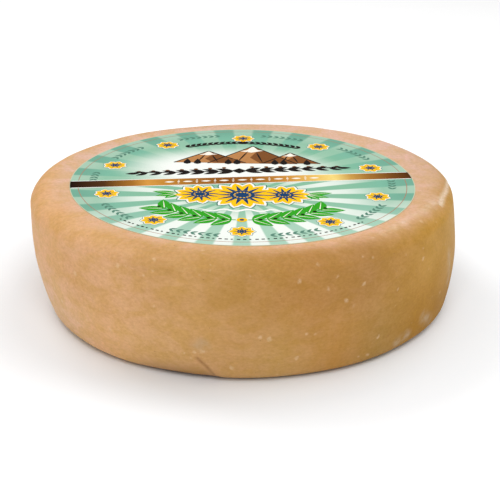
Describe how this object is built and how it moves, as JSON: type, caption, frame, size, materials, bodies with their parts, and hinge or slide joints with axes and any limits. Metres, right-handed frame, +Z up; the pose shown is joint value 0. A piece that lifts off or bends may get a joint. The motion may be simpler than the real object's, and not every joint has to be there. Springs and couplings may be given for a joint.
{
  "type": "cheese wheel",
  "caption": "Low round wheel of semi-hard goat's cheese with a bulging tan rind, rounded edges and a round printed paper label on its top.",
  "frame": {"origin": "centre of the bounding box's bottom face, on the surface that the wheel stands on", "axes": "+Z up through the wheel's thickness, -Y towards the side that the picture is taken from, +X to the right as seen from there"},
  "size_m": [0.2816, 0.2804, 0.0806],
  "materials": {
    "rind": "washed and brushed cheese rind, tan, faintly waxy",
    "label_paper": "coated paper printed in mint green with a gold foil band"
  },
  "bodies": {
    "root": {"cheese_wheel": "rind", "paper_label": "label_paper"}
  },
  "joints": []
}
